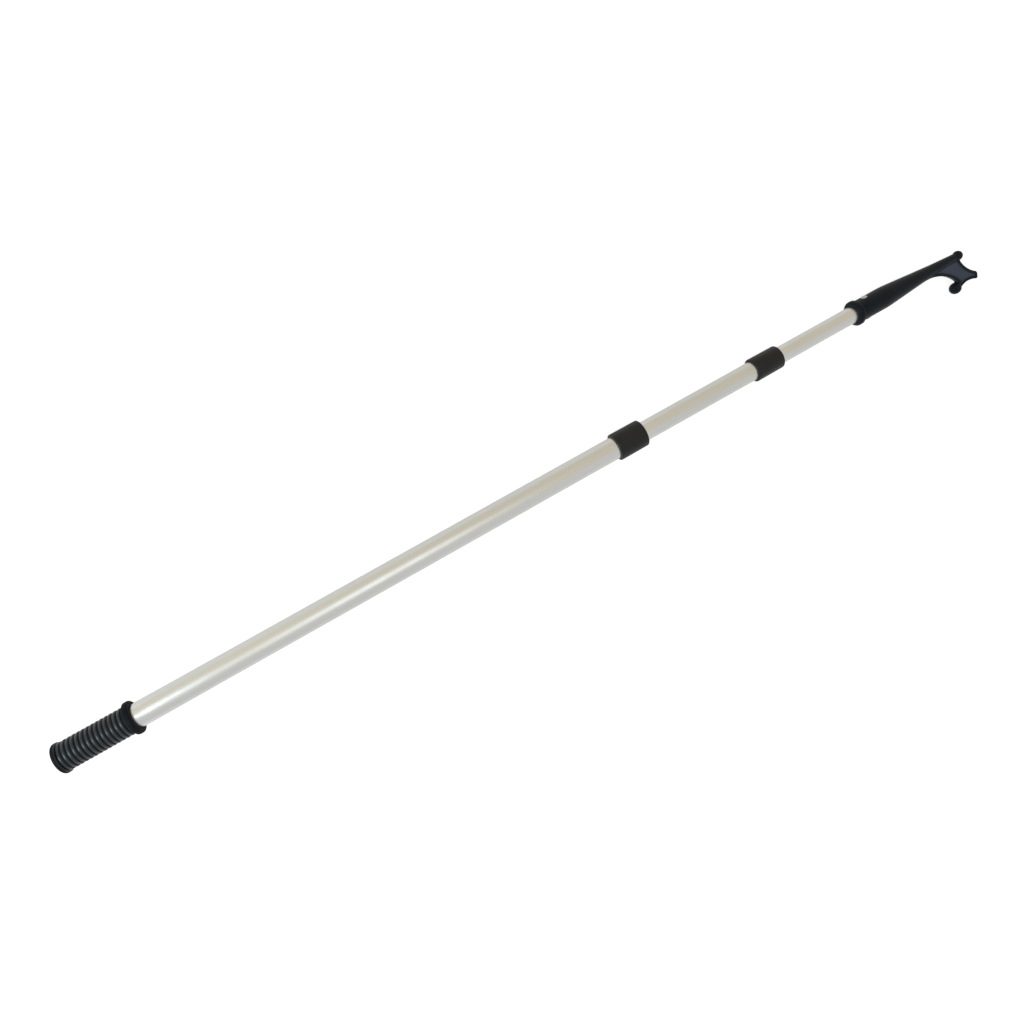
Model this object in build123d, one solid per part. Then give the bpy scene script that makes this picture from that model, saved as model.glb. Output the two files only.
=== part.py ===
from build123d import *
import os
from math import asin, degrees, hypot, radians, tan

# A telescoping boat hook in three tubes, lying partly drawn out on a flat surface.
# +X runs along the pole from the hand grip to the hook, +Z is up, and the hook opens towards -Y.
# The origin is the middle of the grip's flat butt, on the pole's axis.  All sizes are millimetres.

# Clearances shared by everything that fits
SLIDE_GAP = 0.3  # radial, tube or sleeve that slides in a bore
TURN_GAP = 0.3  # radial, ring that turns on a neck
FACE_GAP = 0.3  # axial, between faces that pass each other
FLUSH_GAP = 0.3  # a pin end stays this far under the tube's surface
EDGE_MATCH = 0.05  # an edge this close to a wanted place or radius is the one meant

# The three tubes: each nests in the one before it
OUTER_OD = 32.0
OUTER_WALL = 1.5
MIDDLE_NEST_GAP = 0.5  # radial, between the outer tube's bore and the middle tube
MIDDLE_WALL = 1.2
INNER_NEST_GAP = 0.3  # radial, between the middle tube's bore and the inner tube
INNER_WALL = 1.2
MIDDLE_OD = OUTER_OD - 2 * OUTER_WALL - 2 * MIDDLE_NEST_GAP
INNER_OD = MIDDLE_OD - 2 * MIDDLE_WALL - 2 * INNER_NEST_GAP

# Bare tube that shows, as the pole lies
OUTER_BARE = 706.0
MIDDLE_BARE = 190.0
INNER_BARE = 138.5
STOW_ROOM = 20.0  # free length left ahead of a lock when the pole is pushed together

# Hand grip: a ribbed rubber sleeve with a closed butt; its walls stand on the outer tube
GRIP_LENGTH = 100.0
GRIP_END_WALL = 4.0
GRIP_RIB_COUNT = 14
GRIP_GROOVE_WALL = 1.7
GRIP_RIB_WALL = 2.7
GRIP_BUTT_WALL = 4.2
GRIP_BUTT_LENGTH = 6.0
GRIP_STOP_WALL = 6.2
GRIP_STOP_LENGTH = 6.0
GRIP_FLARE_LENGTH = 4.5
GRIP_FLARE_HOLLOW = 1.2
GRIP_EDGE_ROUND = 2.4

# Plug that closes the outer tube inside the grip
BUTT_PLUG_FLANGE = 3.0
BUTT_PLUG_DEPTH = 27.0

# Collars: each is fixed on one tube and guides the next
OUTER_COLLAR_WALL = 3.8
OUTER_COLLAR_LENGTH = 45.0
MIDDLE_COLLAR_WALL = 3.4
MIDDLE_COLLAR_LENGTH = 45.0
COLLAR_TAPER = 0.3  # a collar's mouth is this much smaller in radius than its back
COLLAR_LIP = 7.0  # length of the guiding lip past the tube's end
COLLAR_MOUTH_ROUND = 2.2
COLLAR_BACK_ROUND = 1.2

# Twist lock: end plug with a threaded stud, split sleeve and the cone nut that spreads it
PLUG_DEPTH = 30.0
PLUG_FLANGE = 3.0
PLUG_FLANGE_INSET = 0.3
NECK_RADIUS = 6.0
WASHER_THICKNESS = 1.5
WASHER_INSET = 1.6  # the washer is this much smaller in radius than the sleeve
SLEEVE_RING_LENGTH = 6.0
SLEEVE_TAPER_LENGTH = 20.0
SLEEVE_TAPER_DEGREES = 9.0
SLEEVE_THIN_WALL = 2.2
SLEEVE_RELIEF = 0.4  # the relaxed sleeve is this much under the bore, radially
SLOT_COUNT = 4
SLOT_WIDTH = 2.6
SLOT_ROOT = 2.0
KEY_LENGTH = 12.0
KEY_INSET = 0.5
CONE_SETBACK = 1.0  # the locked cone stops this far from the sleeve's ring
CONE_LENGTH = 18.0
RING_SECTION_RADIUS = 1.2
RING_SEAT = 3.0  # drag ring's middle, from the sleeve's end
STUD_RADIUS = 4.0
STUD_SEAT = 16.0
CONE_TRAVEL = 1.25  # the stud's pitch: one turn of the tube moves the cone this far
STUD_TIP = 2.0
STUD_CHAMFER = 0.8
NUT_ACROSS_FLATS = 13.0
NUT_THICKNESS = 5.0
NUT_SPARE = 2.0  # free stud left between the released cone and its stop nut
PLUG_PIN_RADIUS = 1.5
PLUG_PIN_STATION = 23.0

# Hook head, measured from the mouth of its socket along the pole and out from the pole's axis
SOCKET_DEPTH = 60.0
SOCKET_WALL = 3.7
SOCKET_RADIUS = INNER_OD / 2 + SOCKET_WALL
BEAD_PROUD = 2.7
BEAD_RADIUS = SOCKET_RADIUS + BEAD_PROUD
BEAD_LENGTH = 8.0
BEAD_ROUND = 2.5
SPINE_START = 58.0
SPINE_WAIST = 153.0
SPINE_WAIST_RADIUS = 8.2
SPINE_END_RADIUS = 5.3
TOP_BALL_STATION = 201.3
TOP_BALL_RADIUS = 7.4
HOOK_BALL_STATION = 191.6
HOOK_BALL_OFFSET = 47.8
HOOK_BALL_RADIUS = 8.7
CROWN_REACH = 40.7  # from the hook ball's middle on to the crown's blunt end
CROWN_DROP = 3.8  # the end's middle is this much nearer to the pole
CROWN_WIDTH = 12.4
CROWN_ROUND = 3.5
WEB_START = 118.0  # the web leaves the spine here
WEB_ROOT_DEPTH = 1.0
THROAT_START = 146.0
THROAT_START_OFFSET = 10.0
THROAT_END_REACH = 5.0  # from the hook ball's middle on to where the throat meets the ball
THROAT_END_DROP = 7.5
THROAT_HOLLOW = 5.2
FRONT_HOLLOW = 3.4
HEEL_HOLLOW = 4.2
RIM_HALF_THICKNESS = 5.0
WEB_HALF_THICKNESS = 2.5
RIM_WIDTH = 3.0
RIM_ROUND = 1.4

# Rivet that holds the hook head on the inner tube
RIVET_STATION = 24.0
RIVET_RADIUS = 2.4
RIVET_HEAD_RADIUS = 4.8
RIVET_HEAD_HEIGHT = 2.3
RIVET_TAIL_RADIUS = 3.8
RIVET_TAIL_HEIGHT = 2.2
RIVET_WASHER_RADIUS = 5.0
RIVET_WASHER_THICKNESS = 1.0
RIVET_SEAT_DEPTH = 0.8  # flat seats cut into the round socket

# Sizes that follow
OUTER_BORE_RADIUS = OUTER_OD / 2 - OUTER_WALL
MIDDLE_BORE_RADIUS = MIDDLE_OD / 2 - MIDDLE_WALL
INNER_BORE_RADIUS = INNER_OD / 2 - INNER_WALL
NECK_LENGTH = WASHER_THICKNESS + SLEEVE_RING_LENGTH + 2 * FACE_GAP
SLEEVE_STATION = PLUG_FLANGE + WASHER_THICKNESS + FACE_GAP
CONE_STATION = SLEEVE_STATION + SLEEVE_RING_LENGTH + CONE_SETBACK
NUT_STATION = CONE_STATION + CONE_LENGTH + CONE_TRAVEL + NUT_SPARE
LOCK_LENGTH = NUT_STATION + NUT_THICKNESS + STUD_TIP
SLEEVE_TAPER_RISE = SLEEVE_TAPER_LENGTH * tan(radians(SLEEVE_TAPER_DEGREES))

# Stations along the pole
OUTER_TUBE_START = GRIP_END_WALL + BUTT_PLUG_FLANGE
BUTT_PLUG_END = OUTER_TUBE_START + BUTT_PLUG_DEPTH
OUTER_COLLAR_START = GRIP_LENGTH + OUTER_BARE
OUTER_COLLAR_END = OUTER_COLLAR_START + OUTER_COLLAR_LENGTH
OUTER_TUBE_END = OUTER_COLLAR_END - COLLAR_LIP
MIDDLE_COLLAR_START = OUTER_COLLAR_END + MIDDLE_BARE
MIDDLE_COLLAR_END = MIDDLE_COLLAR_START + MIDDLE_COLLAR_LENGTH
MIDDLE_TUBE_END = MIDDLE_COLLAR_END - COLLAR_LIP
HEAD_START = MIDDLE_COLLAR_END + INNER_BARE
INNER_TUBE_END = HEAD_START + SOCKET_DEPTH
# Each inner tube reaches as far back as it can and still push fully in
MIDDLE_TUBE_START = BUTT_PLUG_END + STOW_ROOM + LOCK_LENGTH + MIDDLE_BARE
INNER_TUBE_START = MIDDLE_TUBE_START + PLUG_DEPTH + STOW_ROOM + LOCK_LENGTH + INNER_BARE

# The hook rolls about the pole until its ball and the socket's bead rest on one surface
HOOK_ROLL = degrees(asin((BEAD_RADIUS - HOOK_BALL_RADIUS) / HOOK_BALL_OFFSET))


def turned(outline):
    """Revolve a closed outline of (along, radius) points about the pole's axis."""
    profile = make_face(Polyline(*outline, close=True))
    return revolve(profile, Axis.X, 360)


def bar(start, end, radius):
    """Round bar on the pole's axis."""
    upright = Cylinder(radius, end - start, align=(Align.CENTER, Align.CENTER, Align.MIN))
    return Pos(start, 0, 0) * Rot(0, 90, 0) * upright


def cross_bar(station, radius, low, high):
    """Round bar across the pole, along the hook's plane, from low to high."""
    upright = Cylinder(radius, high - low, align=(Align.CENTER, Align.CENTER, Align.MIN))
    return Pos(station, low, 0) * Rot(-90, 0, 0) * upright


def tube(start, end, outer_radius, bore_radius):
    """Plain drawn tube on the pole's axis."""
    return bar(start, end, outer_radius) - bar(start, end, bore_radius)


def rims(part, station, radius):
    """Circular edges of one radius at one station along the pole."""
    circles = part.edges().filter_by(GeomType.CIRCLE)
    at_station = circles.filter_by(lambda e: abs(e.arc_center.X - station) < EDGE_MATCH)
    return at_station.filter_by(lambda e: abs(e.radius - radius) < EDGE_MATCH)


def bowed(start, end, depth):
    """Middle point of an arc that stands off its chord by depth, to the left as seen from the start."""
    along = end[0] - start[0]
    across = end[1] - start[1]
    chord = hypot(along, across)
    middle_along = (start[0] + end[0]) / 2 - across / chord * depth
    middle_across = (start[1] + end[1]) / 2 + along / chord * depth
    return (middle_along, middle_across)


def hand_grip():
    """Ribbed rubber sleeve, closed at the butt and flared into a hand stop."""
    groove = OUTER_OD / 2 + GRIP_GROOVE_WALL
    crest = OUTER_OD / 2 + GRIP_RIB_WALL
    butt = OUTER_OD / 2 + GRIP_BUTT_WALL
    stop = OUTER_OD / 2 + GRIP_STOP_WALL
    ribs_start = GRIP_BUTT_LENGTH
    stop_start = GRIP_LENGTH - GRIP_STOP_LENGTH
    ribs_end = stop_start - GRIP_FLARE_LENGTH
    pitch = (ribs_end - ribs_start) / GRIP_RIB_COUNT
    edges = Polyline((ribs_end, 0), (0, 0), (0, butt), (ribs_start, butt), (ribs_start, groove)).edges()
    for index in range(GRIP_RIB_COUNT):
        left = ribs_start + index * pitch
        edges.append(ThreePointArc((left, groove), (left + pitch / 2, crest), (left + pitch, groove)))
    flare_middle = bowed((ribs_end, groove), (stop_start, stop), -GRIP_FLARE_HOLLOW)
    edges.append(ThreePointArc((ribs_end, groove), flare_middle, (stop_start, stop)))
    edges += Polyline((stop_start, stop), (GRIP_LENGTH, stop), (GRIP_LENGTH, 0), (ribs_end, 0)).edges()
    body = revolve(make_face(Wire(edges)), Axis.X, 360)
    rounded = rims(body, 0, butt) + rims(body, ribs_start, butt)
    rounded += rims(body, stop_start, stop) + rims(body, GRIP_LENGTH, stop)
    body = fillet(rounded, GRIP_EDGE_ROUND)
    return body - bar(GRIP_END_WALL, GRIP_LENGTH, OUTER_OD / 2)


def butt_plug():
    """Plastic plug that keeps water out of the outer tube's lower end."""
    flange = bar(GRIP_END_WALL, OUTER_TUBE_START, OUTER_OD / 2)
    return flange + bar(OUTER_TUBE_START, BUTT_PLUG_END, OUTER_BORE_RADIUS)


def outer_tube():
    """Largest aluminium tube."""
    return tube(OUTER_TUBE_START, OUTER_TUBE_END, OUTER_OD / 2, OUTER_BORE_RADIUS)


def drilled_tube(start, end, outside, bore):
    """Sliding tube with the cross hole that its plug pin goes through."""
    hole = cross_bar(start + PLUG_PIN_STATION, PLUG_PIN_RADIUS, -outside, outside)
    return tube(start, end, outside, bore) - hole


def collar(start, end, tube_radius, wall, guided_radius):
    """Collar seated on one tube's end, with a lip that guides the tube inside it."""
    back = tube_radius + wall
    mouth = back - COLLAR_TAPER
    body = turned([(start, 0), (start, back), (end, mouth), (end, 0)])
    body = fillet(rims(body, end, mouth), COLLAR_MOUTH_ROUND)
    body = fillet(rims(body, start, back), COLLAR_BACK_ROUND)
    seat = bar(start, end - COLLAR_LIP, tube_radius)
    guide = bar(end - COLLAR_LIP, end, guided_radius + SLIDE_GAP)
    return body - seat - guide


def end_plug(tube_start, tube_bore, tube_radius):
    """Plug pressed into a sliding tube's lower end, with the neck that the lock's sleeve turns on."""
    body = bar(tube_start, tube_start + PLUG_DEPTH, tube_bore)
    flange = bar(tube_start - PLUG_FLANGE, tube_start, tube_radius - PLUG_FLANGE_INSET)
    neck_end = tube_start - PLUG_FLANGE - NECK_LENGTH
    neck = bar(neck_end, tube_start - PLUG_FLANGE, NECK_RADIUS)
    stud_hole = bar(neck_end, tube_start + STUD_SEAT, STUD_RADIUS)
    pin_hole = cross_bar(tube_start + PLUG_PIN_STATION, PLUG_PIN_RADIUS, -tube_radius, tube_radius)
    return body + flange + neck - stud_hole - pin_hole


def plug_pin(tube_start, tube_radius):
    """Cross pin through tube and plug, its ends just under the tube's surface."""
    reach = tube_radius - FLUSH_GAP
    return cross_bar(tube_start + PLUG_PIN_STATION, PLUG_PIN_RADIUS, -reach, reach)


def stud(tube_start):
    """Threaded stud, drawn at its outside diameter."""
    tip = tube_start - LOCK_LENGTH
    body = bar(tip, tube_start + STUD_SEAT, STUD_RADIUS)
    return chamfer(rims(body, tip, STUD_RADIUS), STUD_CHAMFER)


def stud_nut(tube_start):
    """Hexagon nut that stops the cone from running off the stud."""
    outline = RegularPolygon(NUT_ACROSS_FLATS / 2, 6, major_radius=False)
    nut_end = tube_start - NUT_STATION
    prism = Pos(nut_end - NUT_THICKNESS, 0, 0) * Rot(0, 90, 0) * extrude(outline, NUT_THICKNESS)
    return prism - bar(nut_end - NUT_THICKNESS, nut_end, STUD_RADIUS)


def thrust_washer(tube_start, bore_radius):
    """Slippery washer between the plug's flange and the sleeve."""
    face = tube_start - PLUG_FLANGE
    outside = bore_radius - SLEEVE_RELIEF - WASHER_INSET
    return tube(face - WASHER_THICKNESS, face, outside, NECK_RADIUS)


def slots(start, end, width, reach):
    """Lengthwise blocks spread round the axis: the sleeve's slots or the cone's keys."""
    blocks = []
    for index in range(SLOT_COUNT):
        block = Box(end - start, width, reach, align=(Align.MIN, Align.CENTER, Align.MIN))
        blocks.append(Rot(360 * index / SLOT_COUNT, 0, 0) * Pos(start, 0, 0) * block)
    return blocks


def expander_sleeve(tube_start, bore_radius):
    """Split sleeve that grips the bore round it when the cone is drawn in."""
    outside = bore_radius - SLEEVE_RELIEF
    ring_start = tube_start - SLEEVE_STATION
    taper_start = ring_start - SLEEVE_RING_LENGTH
    taper_end = taper_start - SLEEVE_TAPER_LENGTH
    wide = outside - SLEEVE_THIN_WALL
    body = turned([(taper_end, wide), (taper_end, outside), (ring_start, outside),
                   (ring_start, NECK_RADIUS + TURN_GAP), (taper_start, NECK_RADIUS + TURN_GAP),
                   (taper_start, wide - SLEEVE_TAPER_RISE)])
    for block in slots(taper_end, taper_start - SLOT_ROOT, SLOT_WIDTH, bore_radius):
        body -= block
    return body - drag_ring(tube_start, bore_radius)


def drag_ring(tube_start, bore_radius):
    """Rubber ring that keeps the sleeve from turning with the tube; it all but touches the bore."""
    station = tube_start - SLEEVE_STATION - RING_SEAT
    middle_radius = bore_radius - SLIDE_GAP - RING_SECTION_RADIUS
    return Pos(station, 0, 0) * Rot(0, 90, 0) * Torus(middle_radius, RING_SECTION_RADIUS)


def cone_nut(tube_start, bore_radius):
    """Cone that runs on the stud and spreads the sleeve, keyed into the sleeve's slots."""
    outside = bore_radius - SLEEVE_RELIEF
    slope = tan(radians(SLEEVE_TAPER_DEGREES))
    near = tube_start - CONE_STATION
    far = near - CONE_LENGTH
    root = outside - SLEEVE_THIN_WALL - SLEEVE_TAPER_RISE - SLIDE_GAP
    near_radius = root + CONE_SETBACK * slope
    far_radius = near_radius + CONE_LENGTH * slope
    body = turned([(far, 0), (far, far_radius), (near, near_radius), (near, 0)])
    key_near = near - SLOT_ROOT - 2 * FACE_GAP
    for block in slots(key_near - KEY_LENGTH, key_near, SLOT_WIDTH - 2 * SLIDE_GAP, outside - KEY_INSET):
        body += block
    return body - bar(far, near, STUD_RADIUS + TURN_GAP)


def in_hook_plane(point):
    """A (station, offset) point of the head as a point of the drawing plane; the hook opens towards -Y."""
    return (HEAD_START + point[0], -point[1])


def spine_radius(station):
    """Radius of the spine's first taper at a station of the head."""
    share = (station - SPINE_START) / (SPINE_WAIST - SPINE_START)
    return SOCKET_RADIUS + (SPINE_WAIST_RADIUS - SOCKET_RADIUS) * share


def hook_outline():
    """Flat shape of the hook's web, from the spine round the front, crown, heel, ball and throat."""
    ball = (HOOK_BALL_STATION, HOOK_BALL_OFFSET)
    crown_front = (ball[0] + CROWN_REACH, ball[1] - CROWN_DROP - CROWN_WIDTH / 2)
    crown_heel = (crown_front[0], crown_front[1] + CROWN_WIDTH)
    heel_end = (ball[0] + HOOK_BALL_RADIUS / 2, ball[1])
    throat_end = (ball[0] + THROAT_END_REACH, ball[1] - THROAT_END_DROP)
    throat_start = (THROAT_START, THROAT_START_OFFSET)
    front_end = (TOP_BALL_STATION, TOP_BALL_RADIUS)
    spine_end = (TOP_BALL_STATION, 0)
    root = (WEB_START, spine_radius(WEB_START) - WEB_ROOT_DEPTH)
    root_axis = (WEB_START, 0)
    runs = [
        (root_axis, spine_end),
        (spine_end, front_end),
        (front_end, bowed(front_end, crown_front, FRONT_HOLLOW), crown_front),
        (crown_front, crown_heel),
        (crown_heel, bowed(crown_heel, heel_end, HEEL_HOLLOW), heel_end),
        (heel_end, ball),
        (ball, throat_end),
        (throat_end, bowed(throat_end, throat_start, THROAT_HOLLOW), throat_start),
        (throat_start, root),
        (root, root_axis),
    ]
    edges = []
    for run in runs:
        points = [in_hook_plane(point) for point in run]
        edges.append(Line(*points) if len(points) == 2 else ThreePointArc(*points))
    face = make_face(Wire(edges))
    corners = face.vertices().sort_by(Axis.X)[-2:]
    return fillet(corners, CROWN_ROUND)


def hook_plate():
    """Thin web inside a raised rim."""
    outline = hook_outline()
    plate = extrude(outline, RIM_HALF_THICKNESS, both=True)
    curved = plate.edges().filter_by(GeomType.CIRCLE)
    rounded = curved.filter_by(lambda edge: abs(edge.arc_center.Z) > WEB_HALF_THICKNESS)
    plate = fillet(rounded, RIM_ROUND)
    inside = offset(outline, amount=-RIM_WIDTH, kind=Kind.INTERSECTION)
    pocket_depth = RIM_HALF_THICKNESS - WEB_HALF_THICKNESS
    upper = Pos(0, 0, WEB_HALF_THICKNESS) * extrude(inside, pocket_depth)
    lower = Pos(0, 0, -WEB_HALF_THICKNESS) * extrude(inside, -pocket_depth)
    return plate - upper - lower


def hook_ball(station, offset_from_axis, radius):
    """Ball of the head."""
    centre = in_hook_plane((station, offset_from_axis))
    return Pos(centre[0], centre[1], 0) * Sphere(radius)


def hook_head():
    """Moulded head: socket, tapering spine with its ball, rimmed web, crown and hook ball."""
    mouth = HEAD_START
    bead = bar(mouth, mouth + BEAD_LENGTH, BEAD_RADIUS)
    bead_edges = rims(bead, mouth, BEAD_RADIUS) + rims(bead, mouth + BEAD_LENGTH, BEAD_RADIUS)
    bead = fillet(bead_edges, BEAD_ROUND)
    spine = turned([(mouth, 0), (mouth, SOCKET_RADIUS), (mouth + SPINE_START, SOCKET_RADIUS),
                    (mouth + SPINE_WAIST, SPINE_WAIST_RADIUS),
                    (mouth + TOP_BALL_STATION, SPINE_END_RADIUS), (mouth + TOP_BALL_STATION, 0)])
    body = bead + spine + hook_plate()
    body += hook_ball(TOP_BALL_STATION, 0, TOP_BALL_RADIUS)
    body += hook_ball(HOOK_BALL_STATION, HOOK_BALL_OFFSET, HOOK_BALL_RADIUS)
    body -= bar(mouth, INNER_TUBE_END, INNER_OD / 2)
    station = mouth + RIVET_STATION
    seat = SOCKET_RADIUS - RIVET_SEAT_DEPTH
    body -= cross_bar(station, RIVET_RADIUS, -SOCKET_RADIUS, SOCKET_RADIUS)
    body -= cross_bar(station, RIVET_HEAD_RADIUS, seat, SOCKET_RADIUS)
    body -= cross_bar(station, RIVET_WASHER_RADIUS, -SOCKET_RADIUS, -seat)
    return Rot(HOOK_ROLL, 0, 0) * body


def inner_tube():
    """Smallest tube, drilled for its plug pin and for the head's rivet."""
    body = drilled_tube(INNER_TUBE_START, INNER_TUBE_END, INNER_OD / 2, INNER_BORE_RADIUS)
    hole = cross_bar(HEAD_START + RIVET_STATION, RIVET_RADIUS, -INNER_OD, INNER_OD)
    return body - Rot(HOOK_ROLL, 0, 0) * hole


def domed(station, seat, radius, height, direction):
    """Low dome on a flat seat, pointing along the hook's plane."""
    ball_radius = (radius ** 2 + height ** 2) / (2 * height)
    centre = seat + direction * (height - ball_radius)
    low = min(seat, seat + direction * height)
    high = max(seat, seat + direction * height)
    return (Pos(station, centre, 0) * Sphere(ball_radius)) & cross_bar(station, radius, low, high)


def hook_rivet():
    """Rivet through head and tube: domed head on the spine's side, set tail on the hook's side."""
    station = HEAD_START + RIVET_STATION
    seat = SOCKET_RADIUS - RIVET_SEAT_DEPTH
    tail_seat = -seat - RIVET_WASHER_THICKNESS
    body = cross_bar(station, RIVET_RADIUS, tail_seat, seat)
    body += domed(station, seat, RIVET_HEAD_RADIUS, RIVET_HEAD_HEIGHT, 1)
    body += domed(station, tail_seat, RIVET_TAIL_RADIUS, RIVET_TAIL_HEIGHT, -1)
    return Rot(HOOK_ROLL, 0, 0) * body


def rivet_washer():
    """Washer under the rivet's set tail."""
    station = HEAD_START + RIVET_STATION
    seat = SOCKET_RADIUS - RIVET_SEAT_DEPTH
    disc = cross_bar(station, RIVET_WASHER_RADIUS, -seat - RIVET_WASHER_THICKNESS, -seat)
    hole = cross_bar(station, RIVET_RADIUS, -seat - RIVET_WASHER_THICKNESS, -seat)
    return Rot(HOOK_ROLL, 0, 0) * (disc - hole)


def lock_parts(name, tube_start, tube_radius, tube_bore, gripped_bore):
    """Everything of one twist lock, at the lower end of the tube that it locks."""
    return {
        f"{name}_end_plug": end_plug(tube_start, tube_bore, tube_radius),
        f"{name}_plug_pin": plug_pin(tube_start, tube_radius),
        f"{name}_stud": stud(tube_start),
        f"{name}_stud_nut": stud_nut(tube_start),
        f"{name}_thrust_washer": thrust_washer(tube_start, gripped_bore),
        f"{name}_expander_sleeve": expander_sleeve(tube_start, gripped_bore),
        f"{name}_drag_ring": drag_ring(tube_start, gripped_bore),
        f"{name}_cone_nut": cone_nut(tube_start, gripped_bore),
    }


def build_nodes():
    """All pieces by name, where they lie."""
    outer_radius = OUTER_OD / 2
    middle_radius = MIDDLE_OD / 2
    inner_radius = INNER_OD / 2
    nodes = {
        "hand_grip": hand_grip(),
        "butt_plug": butt_plug(),
        "outer_tube": outer_tube(),
        "outer_collar": collar(OUTER_COLLAR_START, OUTER_COLLAR_END, outer_radius,
                               OUTER_COLLAR_WALL, middle_radius),
        "middle_tube": drilled_tube(MIDDLE_TUBE_START, MIDDLE_TUBE_END, middle_radius, MIDDLE_BORE_RADIUS),
        "middle_collar": collar(MIDDLE_COLLAR_START, MIDDLE_COLLAR_END, middle_radius,
                                MIDDLE_COLLAR_WALL, inner_radius),
        "inner_tube": inner_tube(),
        "hook_head": hook_head(),
        "hook_rivet": hook_rivet(),
        "rivet_washer": rivet_washer(),
    }
    nodes |= lock_parts("middle", MIDDLE_TUBE_START, middle_radius, MIDDLE_BORE_RADIUS, OUTER_BORE_RADIUS)
    nodes |= lock_parts("inner", INNER_TUBE_START, inner_radius, INNER_BORE_RADIUS, MIDDLE_BORE_RADIUS)
    return nodes


os.makedirs("parts", exist_ok=True)
for node_name, solid in build_nodes().items():
    export_step(solid, f"parts/{node_name}.step")
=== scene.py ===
from math import asin, cos, pi, radians, sin

import bmesh
import bpy
import numpy as np
from mathutils import Matrix, Vector


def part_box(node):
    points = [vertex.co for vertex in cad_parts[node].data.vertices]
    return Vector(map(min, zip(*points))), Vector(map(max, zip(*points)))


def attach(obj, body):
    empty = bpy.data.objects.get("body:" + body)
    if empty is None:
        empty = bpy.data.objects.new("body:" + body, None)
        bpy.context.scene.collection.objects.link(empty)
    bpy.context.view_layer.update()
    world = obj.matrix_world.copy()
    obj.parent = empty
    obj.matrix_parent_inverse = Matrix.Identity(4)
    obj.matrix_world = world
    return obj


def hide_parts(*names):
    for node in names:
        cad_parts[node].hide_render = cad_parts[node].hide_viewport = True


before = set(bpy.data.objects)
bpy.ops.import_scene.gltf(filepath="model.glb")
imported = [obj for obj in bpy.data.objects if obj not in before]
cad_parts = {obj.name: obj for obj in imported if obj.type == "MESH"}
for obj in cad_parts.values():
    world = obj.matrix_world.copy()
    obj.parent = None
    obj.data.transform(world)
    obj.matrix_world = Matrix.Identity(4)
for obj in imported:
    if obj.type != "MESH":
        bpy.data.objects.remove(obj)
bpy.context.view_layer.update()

# A telescoping boat hook lying on a pale floor.  The pole's axis is X and the hook opens towards -Y.
# Outlines are written in millimetres, as (station along the pole, radius), and become metres in the mesh.
MM = 0.001
ROUND_STEPS = 160  # flats round a turned piece
CORNER_STEPS = 6  # points that round one corner of an outline
SMOOTH_ANGLE = radians(38)  # edges sharper than this stay crisp


def low_mm(node):
    """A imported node's lowest corner in millimetres."""
    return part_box(node)[0] / MM


def high_mm(node):
    """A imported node's highest corner in millimetres."""
    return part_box(node)[1] / MM


def radius_mm(node):
    """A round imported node's largest radius in millimetres."""
    return high_mm(node).z


# ---------------------------------------------------------------- sizes taken from the frame
OUTER_RADIUS = radius_mm("outer_tube")
MIDDLE_RADIUS = radius_mm("middle_tube")
INNER_RADIUS = radius_mm("inner_tube")
OUTER_BORE = OUTER_RADIUS - 1.5
MIDDLE_BORE = MIDDLE_RADIUS - 1.2
INNER_BORE = INNER_RADIUS - 1.2
HEAD_MOUTH = low_mm("hook_head").x
SOCKET_DEPTH = high_mm("inner_tube").x - HEAD_MOUTH

# ---------------------------------------------------------------- tubes and collars
TUBE_EDGE = 0.25  # rounding of a tube's cut edges
SLIDE_GAP = 0.3  # between a collar's bore and the tube that it guides
COLLAR_TAPER = 0.3  # radius lost from a collar's back to its mouth
COLLAR_GUIDE = 7.0  # length of the bore that guides the next tube

# ---------------------------------------------------------------- hand grip
RIB_COUNT = 14
RIB_POINTS = 9
RIB_FULLNESS = 0.62  # power of the sine in a rib's section: less is squarer
RIB_LAND = 0.16  # share of the pitch that is flat at each side of a rib
GROOVE_RADIUS = OUTER_RADIUS + 1.7
RIB_RADIUS = OUTER_RADIUS + 2.7
BUTT_RADIUS = OUTER_RADIUS + 4.2
BUTT_LENGTH = 6.0
STOP_LENGTH = 6.0
FLARE_LENGTH = 4.5
BUTT_DISH = 1.2  # depth of the dish in the butt's face
GRIP_END_WALL = 4.0

# ---------------------------------------------------------------- hook head, from the mouth of its socket
SOCKET_RADIUS = INNER_RADIUS + 3.7
BEAD_RADIUS = SOCKET_RADIUS + 2.7
BEAD_LENGTH = 8.0
SPINE_START = 58.0
SPINE_WAIST = 153.0
SPINE_WAIST_RADIUS = 8.2
SPINE_END_RADIUS = 5.3
TOP_BALL = (201.3, 0.0, 7.4)  # station, offset towards the hook, radius
HOOK_BALL = (191.6, 47.8, 8.7)
HOOK_ROLL = asin((BEAD_RADIUS - HOOK_BALL[2]) / HOOK_BALL[1])
CROWN_END = 232.3  # station of the crown's blunt end
CROWN_FRONT = (CROWN_END, 37.8)
CROWN_HEEL = (CROWN_END, 50.2)
CROWN_ROUND = 3.5
THROAT_START = (146.0, 10.0)
THROAT_END = (196.6, 40.3)
FRONT_HOLLOW = 3.4  # how deep each hollow edge bites into the web
HEEL_HOLLOW = 4.2
THROAT_HOLLOW = 5.2
NECK_FOOT = (207.0, 38.5)  # where the hook ball's neck ends in the web
NECK_HALF = 4.6
WEB_START = 118.0
WEB_HALF = 2.5  # half the thickness of the sunk panel
RIM_HALF = 5.0
RIM_WIDTH = 2.9
RIM_SLOPE = 2.0  # width over which the rim falls to the panel
RIVET_STATION = 24.0
RIVET_SEAT = SOCKET_RADIUS - 0.8
RIVET_SEAT_RADIUS = 5.4
RIVET_SHANK = 2.4
RIVET_STEPS = 64  # flats round rivet and washer
WASHER_THICKNESS = 1.0


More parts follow.
